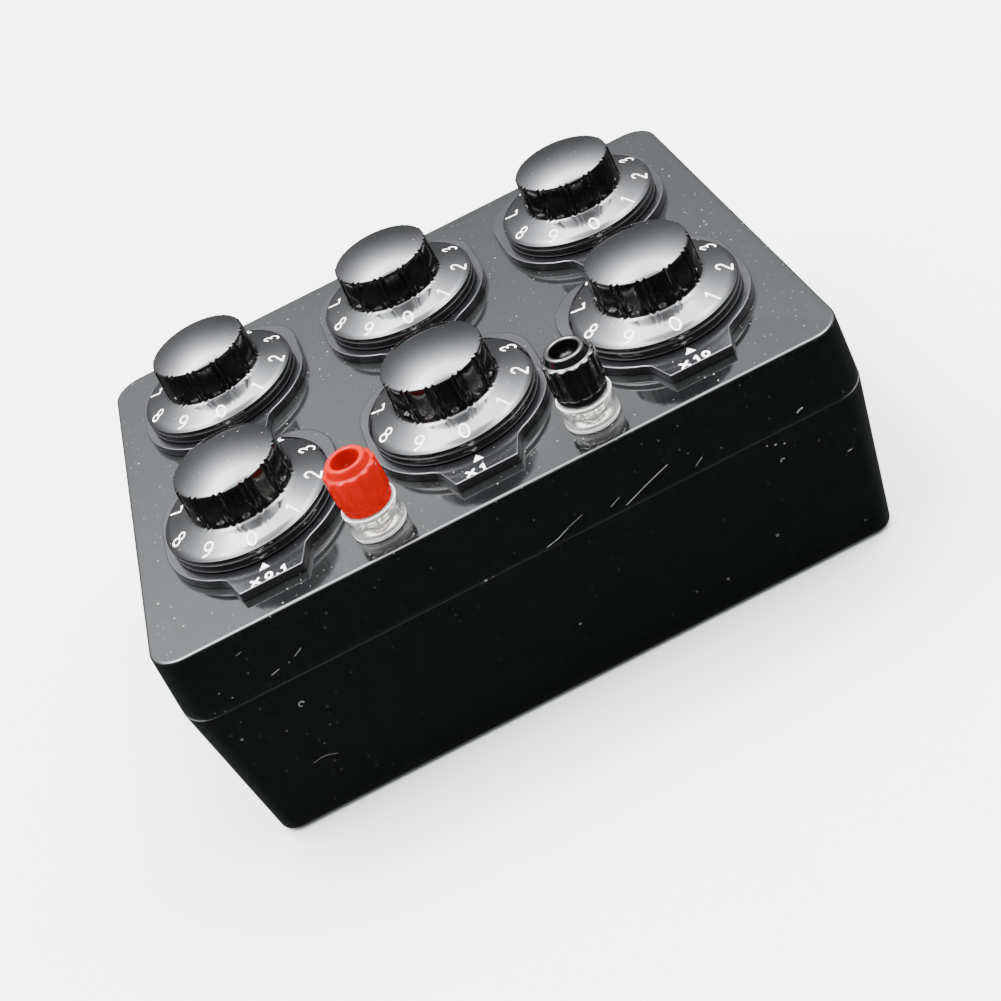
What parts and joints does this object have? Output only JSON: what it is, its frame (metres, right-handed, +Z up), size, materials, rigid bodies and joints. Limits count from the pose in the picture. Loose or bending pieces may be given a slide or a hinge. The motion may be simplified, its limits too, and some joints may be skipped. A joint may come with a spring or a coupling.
{
  "type": "resistance decade box",
  "caption": "Bench resistance decade box: sloped black case, two rows of numbered rotary dials with skirted knobs, and a red and a black binding post at the front.",
  "frame": {"origin": "centre of the footprint, on the surface that the feet stand on", "axes": "+X along the case's long side to the right, +Y towards the back, +Z up"},
  "size_m": [0.2024, 0.1544, 0.0991],
  "materials": {
    "case_black": "glossy moulded plastic with dust and light scratches",
    "knob_black": "glossy moulded plastic, numbers printed in white",
    "plate_black": "glossy moulded plastic with a printed white triangle",
    "cap_red": "glossy red plastic",
    "cap_black": "glossy black plastic",
    "clear_plastic": "clear moulded plastic",
    "post_nickel": "nickel-plated brass",
    "shaft_steel": "turned steel",
    "switch_steel": "zinc-plated sheet steel",
    "spring_steel": "blued spring steel",
    "phenolic": "brown phenolic paper board",
    "contact_brass": "punched brass strip",
    "rotor_plastic": "moulded plastic",
    "resistor_body": "lacquered ceramic",
    "wire_copper": "insulated copper wire",
    "rubber_feet": "moulded rubber"
  },
  "bodies": {
    "case": {"lid": "case_black", "base": "case_black", "feet": "rubber_feet", "index_plates": "plate_black", "switch_frames": "switch_steel", "detent_springs": "spring_steel", "switch_decks": "phenolic", "contact_blades": "contact_brass", "common_contacts": "contact_brass", "resistors": "resistor_body", "link_wires": "wire_copper", "post_collars": "clear_plastic", "post_studs": "post_nickel", "solder_lugs": "contact_brass"},
    "dial_ten_thousands": {"knob_ten_thousands": "knob_black", "shaft_ten_thousands": "shaft_steel", "rotor_ten_thousands": "rotor_plastic", "wiper_ten_thousands": "contact_brass"},
    "dial_thousands": {"knob_thousands": "knob_black", "shaft_thousands": "shaft_steel", "rotor_thousands": "rotor_plastic", "wiper_thousands": "contact_brass"},
    "dial_hundreds": {"knob_hundreds": "knob_black", "shaft_hundreds": "shaft_steel", "rotor_hundreds": "rotor_plastic", "wiper_hundreds": "contact_brass"},
    "dial_tenths": {"knob_tenths": "knob_black", "shaft_tenths": "shaft_steel", "rotor_tenths": "rotor_plastic", "wiper_tenths": "contact_brass"},
    "dial_units": {"knob_units": "knob_black", "shaft_units": "shaft_steel", "rotor_units": "rotor_plastic", "wiper_units": "contact_brass"},
    "dial_tens": {"knob_tens": "knob_black", "shaft_tens": "shaft_steel", "rotor_tens": "rotor_plastic", "wiper_tens": "contact_brass"},
    "insert_red": {"post_insert_red": "post_nickel"},
    "cap_red": {"post_cap_red": "cap_red"},
    "insert_black": {"post_insert_black": "post_nickel"},
    "cap_black": {"post_cap_black": "cap_black"}
  },
  "joints": [
    {"name": "turn_ten_thousands", "type": "hinge", "parent": "case", "child": "dial_ten_thousands", "pos_m": [-0.063, 0.0357, 0.0744], "axis": [0, 0, 1], "continuous": true},
    {"name": "turn_thousands", "type": "hinge", "parent": "case", "child": "dial_thousands", "pos_m": [0, 0.0357, 0.0744], "axis": [0, 0, 1], "continuous": true},
    {"name": "turn_hundreds", "type": "hinge", "parent": "case", "child": "dial_hundreds", "pos_m": [0.063, 0.0357, 0.0744], "axis": [0, 0, 1], "continuous": true},
    {"name": "turn_tenths", "type": "hinge", "parent": "case", "child": "dial_tenths", "pos_m": [-0.063, -0.0327, 0.0744], "axis": [0, 0, 1], "continuous": true},
    {"name": "turn_units", "type": "hinge", "parent": "case", "child": "dial_units", "pos_m": [0, -0.0327, 0.0744], "axis": [0, 0, 1], "continuous": true},
    {"name": "turn_tens", "type": "hinge", "parent": "case", "child": "dial_tens", "pos_m": [0.063, -0.0327, 0.0744], "axis": [0, 0, 1], "continuous": true},
    {"name": "lift_red", "type": "slide", "parent": "case", "child": "insert_red", "axis": [0, 0, 1], "range_m": [0, 0.004]},
    {"name": "unscrew_red", "type": "hinge", "parent": "insert_red", "child": "cap_red", "pos_m": [-0.0315, -0.062, 0.0826], "axis": [0, 0, 1], "range_deg": [0, 1801]},
    {"name": "lift_black", "type": "slide", "parent": "case", "child": "insert_black", "axis": [0, 0, 1], "range_m": [0, 0.004]},
    {"name": "unscrew_black", "type": "hinge", "parent": "insert_black", "child": "cap_black", "pos_m": [0.0315, -0.062, 0.0826], "axis": [0, 0, 1], "range_deg": [0, 1801]}
  ],
  "couplings": [
    {"joint": "unscrew_red", "follows": "lift_red", "rad_per_m": 7854},
    {"joint": "unscrew_black", "follows": "lift_black", "rad_per_m": 7854}
  ]
}
